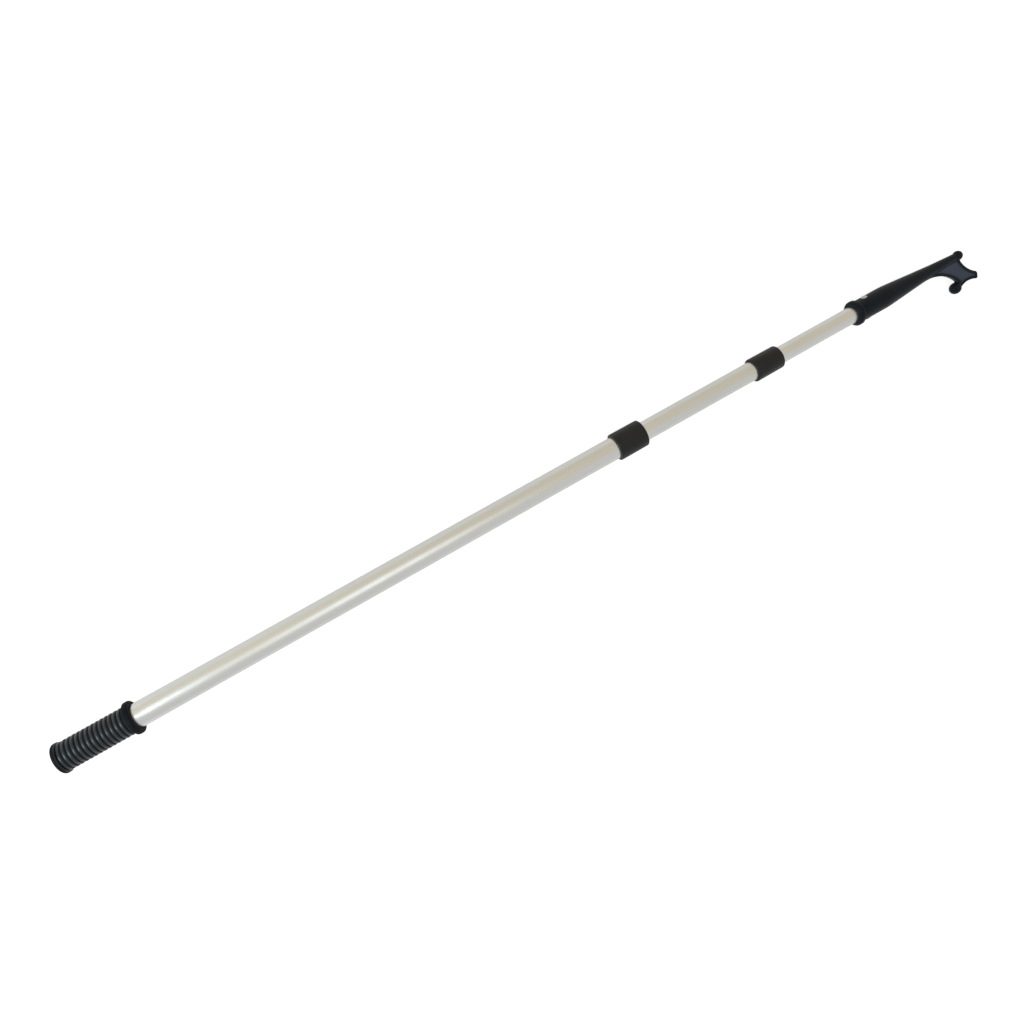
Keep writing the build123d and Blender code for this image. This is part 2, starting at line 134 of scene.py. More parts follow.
# ================================================================ mesh building
def piece_from_mesh(name, mesh, material, body, slot, *nodes):
    """Link a finished mesh as one piece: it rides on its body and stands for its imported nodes."""
    mesh.materials.clear()
    mesh.materials.append(material)
    piece = bpy.data.objects.new(name, mesh)
    bpy.context.scene.collection.objects.link(piece)
    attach(piece, body)
    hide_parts(*nodes)


def smooth_mesh(name, vertices, faces):
    """Mesh in metres from millimetre points, smooth shaded with crisp edges kept."""
    mesh = bpy.data.meshes.new(name)
    mesh.from_pydata([Vector(v) * MM for v in vertices], [], faces)
    work = bmesh.new()
    work.from_mesh(mesh)
    bmesh.ops.remove_doubles(work, verts=work.verts, dist=1e-7)
    bmesh.ops.recalc_face_normals(work, faces=work.faces)
    work.to_mesh(mesh)
    work.free()
    mesh.shade_smooth()
    mesh.set_sharp_from_angle(angle=SMOOTH_ANGLE)
    return mesh


def soften(corners, closed=False):
    """Outline with rounded corners from (station, radius, rounding) corners."""
    points = []
    count = len(corners)
    for index, (station, radius, rounding) in enumerate(corners):
        at_end = not closed and index in (0, count - 1)
        if rounding <= 0 or at_end:
            points.append((station, radius))
            continue
        here = np.array([station, radius])
        back = np.array(corners[index - 1][:2]) - here
        ahead = np.array(corners[(index + 1) % count][:2]) - here
        back_length = np.hypot(*back)
        ahead_length = np.hypot(*ahead)
        back = back / back_length
        ahead = ahead / ahead_length
        half = 0.5 * np.arccos(np.clip(back @ ahead, -1, 1))
        cut = min(rounding / np.tan(half), 0.499 * back_length, 0.499 * ahead_length)
        middle = back + ahead
        centre = here + middle / np.hypot(*middle) * cut / np.cos(half)
        first = here + back * cut - centre
        last = here + ahead * cut - centre
        sweep = pi - 2 * half
        for step in range(CORNER_STEPS + 1):
            share = step / CORNER_STEPS
            weight_first = np.sin((1 - share) * sweep) / np.sin(sweep)
            weight_last = np.sin(share * sweep) / np.sin(sweep)
            point = centre + first * weight_first + last * weight_last
            points.append((float(point[0]), float(point[1])))
    return points


def lathe(name, outline, closed=False, steps=ROUND_STEPS):
    """Turn an outline of (station, radius) points about the pole's axis."""
    vertices = []
    rings = []
    for station, radius in outline:
        if radius <= 0:
            rings.append([len(vertices)] * steps)
            vertices.append((station, 0, 0))
            continue
        rings.append(list(range(len(vertices), len(vertices) + steps)))
        for step in range(steps):
            angle = 2 * pi * step / steps
            vertices.append((station, radius * cos(angle), radius * sin(angle)))
    faces = []
    pairs = list(zip(rings, rings[1:]))
    if closed:
        pairs.append((rings[-1], rings[0]))
    for lower, upper in pairs:
        for step in range(steps):
            after = (step + 1) % steps
            corners = [lower[step], lower[after], upper[after], upper[step]]
            face = list(dict.fromkeys(corners))
            if len(face) > 2:
                faces.append(face)
    return smooth_mesh(name, vertices, faces)


# ================================================================ shader node groups
def new_group(name, inputs, outputs):
    """Empty shader node group with named float inputs (name: default) and named outputs."""
    tree = bpy.data.node_groups.new(name, "ShaderNodeTree")
    for socket_name, default in inputs.items():
        socket = tree.interface.new_socket(socket_name, in_out="INPUT", socket_type="NodeSocketFloat")
        socket.default_value = default
    for socket_name in outputs:
        tree.interface.new_socket(socket_name, in_out="OUTPUT", socket_type="NodeSocketFloat")
    source = tree.nodes.new("NodeGroupInput")
    target = tree.nodes.new("NodeGroupOutput")
    return tree, source, target


def feed(tree, value, socket):
    """Give a socket its value: a number, a colour or another node's output."""
    if isinstance(value, (int, float)):
        socket.default_value = value
    elif isinstance(value, tuple):
        socket.default_value = (*value, 1.0)
    else:
        tree.links.new(value, socket)


def math_node(tree, operation, *values):
    """Math node on sockets or numbers; gives its output."""
    node = tree.nodes.new("ShaderNodeMath")
    node.operation = operation
    for socket, value in zip(node.inputs, values):
        feed(tree, value, socket)
    return node.outputs[0]


def ramp(tree, value, low, high):
    """0 below low, 1 above high, smooth between."""
    node = tree.nodes.new("ShaderNodeMapRange")
    node.interpolation_type = "SMOOTHSTEP"
    feed(tree, value, node.inputs["Value"])
    feed(tree, low, node.inputs["From Min"])
    feed(tree, high, node.inputs["From Max"])
    return node.outputs["Result"]


def mix_colours(tree, mask, colour, over):
    """Colour laid over another (each a colour or a socket) where the mask is 1."""
    node = tree.nodes.new("ShaderNodeMix")
    node.data_type = "RGBA"
    feed(tree, mask, node.inputs["Factor"])
    feed(tree, over, node.inputs[6])  # A, as a colour
    feed(tree, colour, node.inputs[7])  # B, as a colour
    return node.outputs[2]


def place_on_piece(tree):
    """Object coordinates, which stay with the piece when it moves."""
    return tree.nodes.new("ShaderNodeTexCoord").outputs["Object"]


def place_parts(tree):
    """X, Y and Z of the place on the piece, each as its own socket."""
    apart = tree.nodes.new("ShaderNodeSeparateXYZ")
    tree.links.new(place_on_piece(tree), apart.inputs[0])
    return apart.outputs["X"], apart.outputs["Y"], apart.outputs["Z"]


def noise(tree, vector, scale, detail=2.0, roughness=0.5):
    """Noise value on a vector."""
    node = tree.nodes.new("ShaderNodeTexNoise")
    node.inputs["Detail"].default_value = detail
    node.inputs["Roughness"].default_value = roughness
    feed(tree, vector, node.inputs["Vector"])
    feed(tree, scale, node.inputs["Scale"])
    return node.outputs["Fac"]


def stretched(tree, vector, along, across):
    """Vector scaled along the pole and across it by numbers or sockets."""
    factors = tree.nodes.new("ShaderNodeCombineXYZ")
    for socket, factor in zip(factors.inputs, (along, across, across)):
        feed(tree, factor, socket)
    node = tree.nodes.new("ShaderNodeVectorMath")
    node.operation = "MULTIPLY"
    tree.links.new(vector, node.inputs[0])
    tree.links.new(factors.outputs[0], node.inputs[1])
    return node.outputs[0]


def moulded_grain_group():
    """Fine moulded surface: a tight pebble grain over a slow unevenness."""
    tree, source, target = new_group("moulded_grain", {"Grains per metre": 1400.0}, ("Grain", "Unevenness"))
    where = place_on_piece(tree)
    fine = noise(tree, where, source.outputs["Grains per metre"], 3.0, 0.6)
    slow_scale = math_node(tree, "MULTIPLY", source.outputs["Grains per metre"], 0.04)
    slow = noise(tree, where, slow_scale, 2.0, 0.5)
    tree.links.new(fine, target.inputs["Grain"])
    tree.links.new(slow, target.inputs["Unevenness"])
    return tree


def drawn_lines_group():
    """Fine straight lines along the pole, as a drawing die and a sliding fit leave them."""
    tree, source, target = new_group(
        "drawn_lines", {"Lines per metre": 2600.0, "Stretch": 0.012}, ("Lines", "Deep lines"))
    where = place_on_piece(tree)
    fine_along = math_node(tree, "MULTIPLY", source.outputs["Lines per metre"], source.outputs["Stretch"])
    fine = noise(tree, stretched(tree, where, fine_along, source.outputs["Lines per metre"]), 1.0, 2.0, 0.55)
    broad_across = math_node(tree, "MULTIPLY", source.outputs["Lines per metre"], 0.22)
    broad_along = math_node(tree, "MULTIPLY", broad_across, source.outputs["Stretch"])
    broad = noise(tree, stretched(tree, where, broad_along, broad_across), 1.0, 3.0, 0.6)
    deep = ramp(tree, broad, 0.60, 0.70)
    tree.links.new(fine, target.inputs["Lines"])
    tree.links.new(deep, target.inputs["Deep lines"])
    return tree


def handling_marks_group():
    """Short scuffs in all directions and soft cloudy smudges, as masks."""
    tree, source, target = new_group(
        "handling_marks", {"Scuffs per metre": 90.0, "Scuff amount": 0.5, "Smudge size": 22.0},
        ("Scuffs", "Smudges"))
    where = place_on_piece(tree)
    warp = tree.nodes.new("ShaderNodeTexNoise")
    warp.inputs["Scale"].default_value = 30.0
    tree.links.new(where, warp.inputs["Vector"])
    shift = tree.nodes.new("ShaderNodeVectorMath")
    shift.operation = "MULTIPLY_ADD"
    shift.inputs[1].default_value = (0.006, 0.006, 0.006)
    tree.links.new(warp.outputs["Color"], shift.inputs[0])
    tree.links.new(where, shift.inputs[2])
    crossing = []
    for along, across in ((1.0, 6.0), (5.0, 1.0)):
        strokes = noise(tree, stretched(tree, shift.outputs[0], along, across),
                        source.outputs["Scuffs per metre"], 5.0, 0.7)
        crossing.append(ramp(tree, strokes, 0.66, 0.74))
    both = math_node(tree, "MAXIMUM", crossing[0], crossing[1])
    patches = ramp(tree, noise(tree, where, 38.0, 2.0, 0.5), 0.42, 0.62)
    scuffs = math_node(tree, "MULTIPLY", both, patches)
    scuffs = math_node(tree, "MULTIPLY", scuffs, source.outputs["Scuff amount"])
    smudges = ramp(tree, noise(tree, where, source.outputs["Smudge size"], 4.0, 0.6), 0.38, 0.68)
    tree.links.new(scuffs, target.inputs["Scuffs"])
    tree.links.new(smudges, target.inputs["Smudges"])
    return tree


def radius_band_group():
    """Mask by distance from the pole's axis: 0 at the near radius, 1 at the far one."""
    tree, source, target = new_group("radius_band", {"Near": 0.016, "Far": 0.018}, ("Mask",))
    _, y, z = place_parts(tree)
    total = math_node(tree, "MULTIPLY_ADD", z, z, math_node(tree, "MULTIPLY", y, y))
    radius = math_node(tree, "SQRT", total)
    mask = ramp(tree, radius, source.outputs["Near"], source.outputs["Far"])
    tree.links.new(mask, target.inputs["Mask"])
    return tree


def station_band_group():
    """Mask by place along the pole: 1 within half the width of a station, fading at both sides."""
    tree, source, target = new_group(
        "station_band", {"Station": 0.0, "Half width": 0.01, "Fade": 0.004}, ("Mask",))
    x, _, _ = place_parts(tree)
    distance = math_node(tree, "ABSOLUTE", math_node(tree, "SUBTRACT", x, source.outputs["Station"]))
    edge = math_node(tree, "ADD", source.outputs["Half width"], source.outputs["Fade"])
    inside = ramp(tree, distance, source.outputs["Half width"], edge)
    mask = math_node(tree, "SUBTRACT", 1.0, inside)
    tree.links.new(mask, target.inputs["Mask"])
    return tree


def across_hook(tree, roll):
    """Distance from the plane through the pole's axis that is rolled with the hook."""
    _, y, z = place_parts(tree)
    from_y = math_node(tree, "MULTIPLY", y, math_node(tree, "SINE", roll))
    from_z = math_node(tree, "MULTIPLY", z, math_node(tree, "COSINE", roll))
    return math_node(tree, "ABSOLUTE", math_node(tree, "SUBTRACT", from_z, from_y))


def towards_hook(tree, roll):
    """Offset from the pole's axis towards the hook."""
    _, y, z = place_parts(tree)
    from_y = math_node(tree, "MULTIPLY", y, math_node(tree, "COSINE", roll))
    from_z = math_node(tree, "MULTIPLY", z, math_node(tree, "SINE", roll))
    return math_node(tree, "MULTIPLY", math_node(tree, "ADD", from_y, from_z), -1.0)


def parting_line_group():
    """Thin raised line where the two mould halves met, in a plane through the pole's axis."""
    tree, source, target = new_group("parting_line", {"Roll": 0.0, "Half width": 0.00025}, ("Line",))
    inside = ramp(tree, across_hook(tree, source.outputs["Roll"]), 0.0, source.outputs["Half width"])
    tree.links.new(math_node(tree, "SUBTRACT", 1.0, inside), target.inputs["Line"])
    return tree


def web_panel_group():
    """Mask of the sunk panel in the hook's web: thin, off the pole and clear of the hook's ball."""
    tree, source, target = new_group(
        "web_panel", {"Roll": 0.0, "Half thickness": 0.003, "Thickness fade": 0.0012,
                      "Offset": 0.0055, "Offset fade": 0.003, "Ball station": 0.0, "Ball offset": 0.0,
                      "Ball radius": 0.0, "Ball fade": 0.0015}, ("Mask",))
    across = across_hook(tree, source.outputs["Roll"])
    offset = towards_hook(tree, source.outputs["Roll"])

    def past(value, limit, fade):
        """1 where a value is past a limit, after a fade."""
        edge = math_node(tree, "ADD", source.outputs[limit], source.outputs[fade])
        return ramp(tree, value, source.outputs[limit], edge)

    thin = math_node(tree, "SUBTRACT", 1.0, past(across, "Half thickness", "Thickness fade"))
    mask = math_node(tree, "MULTIPLY", thin, past(offset, "Offset", "Offset fade"))
    x, _, _ = place_parts(tree)
    from_ball = math_node(tree, "SUBTRACT", x, source.outputs["Ball station"])
    aside = math_node(tree, "SUBTRACT", offset, source.outputs["Ball offset"])
    square = math_node(tree, "MULTIPLY", aside, aside)
    distance = math_node(tree, "SQRT", math_node(tree, "MULTIPLY_ADD", from_ball, from_ball, square))
    mask = math_node(tree, "MULTIPLY", mask, past(distance, "Ball radius", "Ball fade"))
    tree.links.new(mask, target.inputs["Mask"])
    return tree


GROUPS = {
    "moulded_grain": moulded_grain_group(),
    "drawn_lines": drawn_lines_group(),
    "handling_marks": handling_marks_group(),
    "radius_band": radius_band_group(),
    "station_band": station_band_group(),
    "parting_line": parting_line_group(),
    "web_panel": web_panel_group(),
}


# ================================================================ materials
NEUTRAL = (1.0, 1.0, 1.0)
FLOOR_SEEN = (0.84, 0.84, 0.84)  # glow that the camera sees
FLOOR_REFLECTED = (0.45, 0.45, 0.45)  # glow that the object mirrors


class Finish:
    """A material under construction: its Principled shader, and helpers that wire masks into it."""

    def __init__(self, name, roughness, metallic=0.0, specular=0.5, sheen=NEUTRAL):
        self.material = bpy.data.materials.new(name)
        self.material.use_nodes = True
        self.tree = self.material.node_tree
        self.shader = self.tree.nodes["Principled BSDF"]
        self.shader.inputs["Roughness"].default_value = roughness
        self.shader.inputs["Metallic"].default_value = metallic
        self.shader.inputs["Specular IOR Level"].default_value = specular
        self.shader.inputs["Specular Tint"].default_value = (*sheen, 1.0)

    def group(self, name, **values):
        """Place a shared node group with its own values; underscores stand for spaces."""
        node = self.tree.nodes.new("ShaderNodeGroup")
        node.node_tree = GROUPS[name]
        for key, value in values.items():
            node.inputs[key.replace("_", " ")].default_value = value
        return node.outputs

    def mix(self, mask, colour, over):
        return mix_colours(self.tree, mask, colour, over)

    def times(self, value, factor):
        return math_node(self.tree, "MULTIPLY", value, factor)

    def plus(self, first, second):
        return math_node(self.tree, "ADD", first, second)

    def between(self, value, low, high):
        """Value of 0 to 1 brought between low and high."""
        return math_node(self.tree, "MULTIPLY_ADD", value, high - low, low)

    def colour(self, socket):
        self.tree.links.new(socket, self.shader.inputs["Base Color"])

    def roughness(self, socket):
        self.tree.links.new(socket, self.shader.inputs["Roughness"])

    def coat(self, socket, roughness):
        self.tree.links.new(socket, self.shader.inputs["Coat Weight"])
        self.shader.inputs["Coat Roughness"].default_value = roughness

    def bump(self, height, depth):
        """Relief of a height of 0 to 1 that is depth metres deep."""
        node = self.tree.nodes.new("ShaderNodeBump")
        node.inputs["Distance"].default_value = depth
        node.inputs["Strength"].default_value = 1.0
        self.tree.links.new(height, node.inputs["Height"])
        self.tree.links.new(node.outputs["Normal"], self.shader.inputs["Normal"])


def tube_aluminium(name, rub, worn_station):
    """Satin anodised tube: drawn lines, a faint champagne tone, rub lines from sliding, a worn ring."""
    finish = Finish(name, 0.3, metallic=1.0)
    lines = finish.group("drawn_lines")
    marks = finish.group("handling_marks", Scuff_amount=0.35, Smudge_size=9.0)
    worn = finish.group("station_band", Station=worn_station * MM, Half_width=0.004, Fade=0.02)
    tone = finish.mix(lines["Lines"], (0.80, 0.79, 0.755), (0.72, 0.72, 0.70))
    tone = finish.mix(finish.times(marks["Smudges"], 0.30), (0.70, 0.70, 0.67), tone)
    tone = finish.mix(finish.times(lines["Deep lines"], rub), (0.60, 0.60, 0.58), tone)
    tone = finish.mix(finish.times(worn["Mask"], 0.25), (0.86, 0.86, 0.85), tone)
    finish.colour(tone)
    rough = finish.between(marks["Smudges"], 0.26, 0.34)
    rough = finish.plus(rough, finish.between(lines["Lines"], -0.04, 0.04))
    rough = finish.plus(rough, finish.times(marks["Scuffs"], 0.12))
    rough = finish.plus(rough, finish.times(worn["Mask"], -0.06))
    finish.roughness(rough)
    relief = finish.plus(lines["Lines"], finish.times(lines["Deep lines"], -0.5 * rub))
    finish.bump(relief, 0.00004)
    return finish.material


def black_plastic(name, tone, roughness, roll, specular, sheen=NEUTRAL, panel_painted_sheen=None):
    """Black moulded plastic: pebble grain, parting line, rubbed and dusty patches, and a sunk panel made
    paler by a painted reflection of soft overhead light.
    """
    finish = Finish(name, roughness, specular=specular, sheen=sheen)
    grain = finish.group("moulded_grain", Grains_per_metre=1700.0)
    marks = finish.group("handling_marks", Scuff_amount=0.6)
    seam = finish.group("parting_line", Roll=roll)
    lighter = tuple(1.9 * part + 0.006 for part in tone)
    dusty = tuple(1.5 * part + 0.004 for part in tone)
    colour = finish.mix(finish.times(marks["Smudges"], 0.35), dusty, tone)
    colour = finish.mix(finish.times(grain["Unevenness"], 0.25), lighter, colour)
    if panel_painted_sheen:
        panel = finish.group("web_panel", Roll=roll, Ball_station=(HEAD_MOUTH + HOOK_BALL[0]) * MM,
                             Ball_offset=HOOK_BALL[1] * MM, Ball_radius=HOOK_BALL[2] * MM)
        # painted reflection: the sunk web panel gets a paler slate colour for the overhead light that its
        # flat face mirrors
        colour = finish.mix(panel["Mask"], panel_painted_sheen, colour)
    colour = finish.mix(marks["Scuffs"], (0.11, 0.11, 0.112), colour)
    finish.colour(colour)
    rough = finish.between(marks["Smudges"], roughness - 0.04, roughness + 0.07)
    rough = finish.plus(rough, finish.times(marks["Scuffs"], 0.15))
    rough = finish.plus(rough, finish.times(seam["Line"], -0.10))
    finish.roughness(rough)
    relief = finish.plus(finish.times(grain["Grain"], 0.35), finish.times(grain["Unevenness"], 0.30))
    relief = finish.plus(relief, seam["Line"])
    relief = finish.plus(relief, finish.times(marks["Scuffs"], -0.3))
    finish.bump(relief, 0.00009)
    return finish.material


def grip_rubber():
    """Blue-black rubber: matt in the grooves, coated and glossier on the ribs as if polished by hands; the
    lighter colour on the rib crests is a painted sheen, and the darker colour off them is painted shade in
    the grooves.
    """
    finish = Finish("grip_rubber", 0.5, specular=0.14, sheen=(0.75, 0.90, 1.0))
    grain = finish.group("moulded_grain", Grains_per_metre=2300.0)
    marks = finish.group("handling_marks", Scuff_amount=0.5)
    ribs_end = high_mm("hand_grip").x - STOP_LENGTH - FLARE_LENGTH / 2
    ribs_half = (ribs_end - BUTT_LENGTH) / 2
    crest = finish.group("radius_band", Near=GROOVE_RADIUS * MM, Far=(GROOVE_RADIUS + 0.7) * MM)
    ribbed = finish.group("station_band", Station=(BUTT_LENGTH + ribs_half) * MM,
                          Half_width=ribs_half * MM, Fade=0.0015)
    rib = finish.times(crest["Mask"], ribbed["Mask"])
    seam = finish.group("parting_line")
    # painted light: the crests' lighter blue-black is a painted sheen, the darker tone off the crests is
    # painted shade in the grooves
    colour = finish.mix(rib, (0.0085, 0.012, 0.0155), (0.004, 0.0046, 0.0056))
    colour = finish.mix(finish.times(marks["Smudges"], 0.20), (0.013, 0.016, 0.020), colour)
    colour = finish.mix(finish.times(marks["Scuffs"], 0.6), (0.085, 0.088, 0.092), colour)
    finish.colour(colour)
    finish.coat(finish.times(rib, 0.9), 0.34)
    rough = finish.between(rib, 0.60, 0.45)
    rough = finish.plus(rough, finish.times(grain["Unevenness"], 0.10))
    rough = finish.plus(rough, finish.times(marks["Scuffs"], 0.12))
    finish.roughness(rough)
    relief = finish.plus(finish.times(grain["Grain"], 0.5), finish.times(grain["Unevenness"], 0.4))
    relief = finish.plus(relief, finish.times(seam["Line"], 1.2))
    finish.bump(relief, 0.00008)
    return finish.material


def plain_metal(name, tone, roughness, lines_per_metre):
    """Bright small metal parts with fine tool lines and slight tarnish."""
    finish = Finish(name, roughness, metallic=1.0)
    lines = finish.group("drawn_lines", Lines_per_metre=lines_per_metre, Stretch=0.6)
    marks = finish.group("handling_marks", Scuffs_per_metre=260.0, Smudge_size=120.0)
    darker = tuple(0.72 * part for part in tone)
    colour = finish.mix(finish.times(marks["Smudges"], 0.5), darker, tone)
    finish.colour(colour)
    rough = finish.plus(finish.between(marks["Smudges"], roughness - 0.05, roughness + 0.12),
                        finish.times(marks["Scuffs"], 0.2))
    finish.roughness(rough)
    finish.bump(lines["Lines"], 0.00003)
    return finish.material


def pale_nylon():
    """Natural nylon with a soft moulded grain and dark rub marks where it slides."""
    finish = Finish("lock_nylon", 0.45)
    finish.shader.inputs["Subsurface Weight"].default_value = 0.15
    finish.shader.inputs["Subsurface Scale"].default_value = 0.002
    grain = finish.group("moulded_grain", Grains_per_metre=1500.0)
    marks = finish.group("handling_marks", Scuffs_per_metre=160.0, Smudge_size=60.0)
    colour = finish.mix(finish.times(marks["Smudges"], 0.5), (0.60, 0.58, 0.53), (0.74, 0.73, 0.68))
    colour = finish.mix(marks["Scuffs"], (0.30, 0.30, 0.29), colour)
    finish.colour(colour)
    finish.roughness(finish.between(grain["Unevenness"], 0.38, 0.55))
    finish.bump(grain["Grain"], 0.00004)
    return finish.material


def soft_rubber():
    """Soft black rubber of the drag rings."""
    finish = Finish("ring_rubber", 0.6)
    grain = finish.group("moulded_grain", Grains_per_metre=2600.0)
    marks = finish.group("handling_marks", Scuffs_per_metre=200.0, Smudge_size=80.0)
    colour = finish.mix(finish.times(marks["Smudges"], 0.6), (0.035, 0.035, 0.036), (0.015, 0.015, 0.016))
    finish.colour(colour)
    finish.roughness(finish.between(marks["Smudges"], 0.5, 0.75))
    finish.bump(grain["Grain"], 0.00005)
    return finish.material


def pale_floor():
    """Plain pale floor with a barely visible soft unevenness, duller in reflections than to the eye."""
    finish = Finish("pale_floor", 0.85, specular=0.1)
    marks = finish.group("handling_marks", Smudge_size=1.5)
    finish.colour(finish.mix(marks["Smudges"], (0.36, 0.36, 0.36), (0.37, 0.37, 0.37)))
    seen = finish.tree.nodes.new("ShaderNodeLightPath").outputs["Is Camera Ray"]
    feed(finish.tree, finish.mix(seen, FLOOR_SEEN, FLOOR_REFLECTED), finish.shader.inputs["Emission Color"])
    finish.shader.inputs["Emission Strength"].default_value = 1.0
    return finish.material


# ================================================================ pieces
def build_hand_grip(material):
    """Ribbed rubber sleeve: dished butt with a rolled edge, rounded ribs, flare and rounded hand stop."""
    length = high_mm("hand_grip").x
    stop_radius = radius_mm("hand_grip")
    stop_start = length - STOP_LENGTH
    ribs_end = stop_start - FLARE_LENGTH
    pitch = (ribs_end - BUTT_LENGTH) / RIB_COUNT
    land = RIB_LAND * pitch
    outline = [(BUTT_DISH, 0.0), (BUTT_DISH, 6.0)]
    outline += soften([(BUTT_DISH, 6.0, 0), (BUTT_DISH, 9.5, 0.6), (0.0, 10.5, 0.6), (0.0, BUTT_RADIUS, 2.6),
                       (BUTT_LENGTH, BUTT_RADIUS, 2.2), (BUTT_LENGTH, GROOVE_RADIUS, 0.5),
                       (BUTT_LENGTH + land, GROOVE_RADIUS, 0)])[1:]
    for index in range(RIB_COUNT):
        left = BUTT_LENGTH + index * pitch
        for point in range(RIB_POINTS):
            share = point / (RIB_POINTS - 1)
            station = left + land + share * (pitch - 2 * land)
            lift = (RIB_RADIUS - GROOVE_RADIUS) * sin(pi * share) ** RIB_FULLNESS
            outline.append((station, GROOVE_RADIUS + lift))
        outline.append((left + pitch, GROOVE_RADIUS))
    outline += soften([(ribs_end, GROOVE_RADIUS, 0), (ribs_end + 1.2, GROOVE_RADIUS, 1.6),
                       (stop_start - 0.6, stop_radius - 0.4, 1.2), (stop_start + 0.4, stop_radius, 1.6),
                       (length, stop_radius, 2.5), (length, OUTER_RADIUS + 0.9, 0.8),
                       (length - 0.9, OUTER_RADIUS, 0)])[1:]
    outline += [(GRIP_END_WALL, OUTER_RADIUS), (GRIP_END_WALL, 0.0)]
    mesh = lathe("hand_grip_moulding", outline)
    piece_from_mesh("hand_grip_moulding", mesh, material, "outer_section", "grip_rubber", "hand_grip")


def build_tube(name, node, radius, bore, body, material):
    """Drawn tube with its edges broken."""
    start = low_mm(node).x
    end = high_mm(node).x
    corners = ((start, bore), (start, radius), (end, radius), (end, bore))
    outline = soften([(*corner, TUBE_EDGE) for corner in corners], closed=True)
    mesh = lathe(name, outline, closed=True)
    piece_from_mesh(name, mesh, material, body, "tube_aluminium", node)


def build_collar(name, node, tube_radius, guided_radius, body, material):
    """Collar: rolled back edge, slightly tapering barrel, rounded mouth and a bevelled guiding bore."""
    start = low_mm(node).x
    end = high_mm(node).x
    back = radius_mm(node)
    guide = guided_radius + SLIDE_GAP
    shoulder = end - COLLAR_GUIDE
    outline = soften([
        (start, tube_radius, 0.3), (start, back, 1.3), (end, back - COLLAR_TAPER, 2.3),
        (end, guide + 1.1, 0.4), (end - 0.7, guide, 0.3), (shoulder, guide, 0),
        (shoulder, tube_radius, 0)], closed=True)
    mesh = lathe(name, outline, closed=True)
    piece_from_mesh(name, mesh, material, body, "collar_plastic", node)


# ---------------------------------------------------------------- hook head
def smaller(first, second, blend):
    """Smooth union of two distance fields."""
    share = np.clip(0.5 + 0.5 * (second - first) / blend, 0, 1)
    return second + (first - second) * share - blend * share * (1 - share)


def larger(first, second, blend):
    """Smooth cut: what both fields hold."""
    return -smaller(-first, -second, blend)


def rounded_both(first, second, rounding):
    """What both fields hold, with the edge between them rounded to a radius."""
    inside = np.minimum(np.maximum(first, second), -rounding)
    outside = np.hypot(np.maximum(first + rounding, 0), np.maximum(second + rounding, 0))
    return inside + outside


def hollow(start, end, depth):
    """Circle (centre, radius) that passes start and end and bites depth into the web."""
    start = np.array(start, float)
    end = np.array(end, float)
    chord = np.hypot(*(end - start))
    along = (end - start) / chord
    radius = chord ** 2 / (8 * depth) + depth / 2
    centre = (start + end) / 2 + np.array([along[1], -along[0]]) * (radius - depth)
    return centre, radius


def outside(circle, s, v):
    """Distance field of everything outside a circle."""
    centre, radius = circle
    return radius - np.hypot(s - centre[0], v - centre[1])


FRONT = hollow((TOP_BALL[0], TOP_BALL[2]), CROWN_FRONT, FRONT_HOLLOW)
HEEL = hollow(CROWN_HEEL, (HOOK_BALL[0] + HOOK_BALL[2] / 2, HOOK_BALL[1]), HEEL_HOLLOW)
THROAT = hollow(THROAT_END, THROAT_START, THROAT_HOLLOW)


def web_edge(s, v):
    """Distance from the web's flat outline, negative inside it."""
    crown = rounded_both(outside(FRONT, s, v), s - CROWN_END, CROWN_ROUND)
    crown = rounded_both(crown, outside(HEEL, s, v), CROWN_ROUND)
    web = np.maximum(crown, outside(THROAT, s, v))
    run = np.array(NECK_FOOT) - np.array(HOOK_BALL[:2])
    share = ((s - HOOK_BALL[0]) * run[0] + (v - HOOK_BALL[1]) * run[1]) / (run @ run)
    share = np.clip(share, 0, 1)
    neck = np.hypot(s - HOOK_BALL[0] - share * run[0], v - HOOK_BALL[1] - share * run[1]) - NECK_HALF
    return smaller(web, neck, 3.0)


def spine_profile(s):
    """Radius of socket and spine along the head, with soft changes of taper."""
    stations = (SPINE_START, SPINE_WAIST, TOP_BALL[0])
    radii = (SOCKET_RADIUS, SPINE_WAIST_RADIUS, SPINE_END_RADIUS)
    spread = (-6.0, -3.0, 0.0, 3.0, 6.0)
    return sum(np.interp(s + shift, stations, radii) for shift in spread) / len(spread)


def head_field(s, v, w):
    """Signed distance to the moulded head, at its own station, offset towards the hook and place across."""
    from_axis = np.hypot(v, w)
    spine = np.maximum((from_axis - spine_profile(s)) * 0.995, np.maximum(-s, s - TOP_BALL[0]))
    bead_half = BEAD_LENGTH / 2
    bead = rounded_both(np.abs(s - bead_half) - bead_half, from_axis - BEAD_RADIUS, 2.5)
    edge = web_edge(s, v)
    inner = np.clip((-edge - RIM_WIDTH) / RIM_SLOPE, 0, 1)
    inner = inner * inner * (3 - 2 * inner)
    thickness = RIM_HALF + (WEB_HALF - RIM_HALF) * inner
    flat = np.maximum(np.maximum(edge, -v), WEB_START - s)
    plate = rounded_both(flat, np.abs(w) - thickness, 1.5)
    body = smaller(spine, bead, 0.9)
    body = smaller(body, plate, 2.2)
    for station, offset, radius in (TOP_BALL, HOOK_BALL):
        ball = np.sqrt((s - station) ** 2 + (v - offset) ** 2 + w ** 2) - radius
        body = smaller(body, ball, 1.4)
    bore = np.maximum(from_axis - INNER_RADIUS, s - SOCKET_DEPTH)
    body = larger(body, -bore, 0.5)
    around_rivet = np.hypot(s - RIVET_STATION, w)
    seat = np.maximum(around_rivet - RIVET_SEAT_RADIUS, RIVET_SEAT - np.abs(v))
    hole = around_rivet - RIVET_SHANK
    body = larger(body, -seat, 0.4)
    return np.maximum(body, -hole)


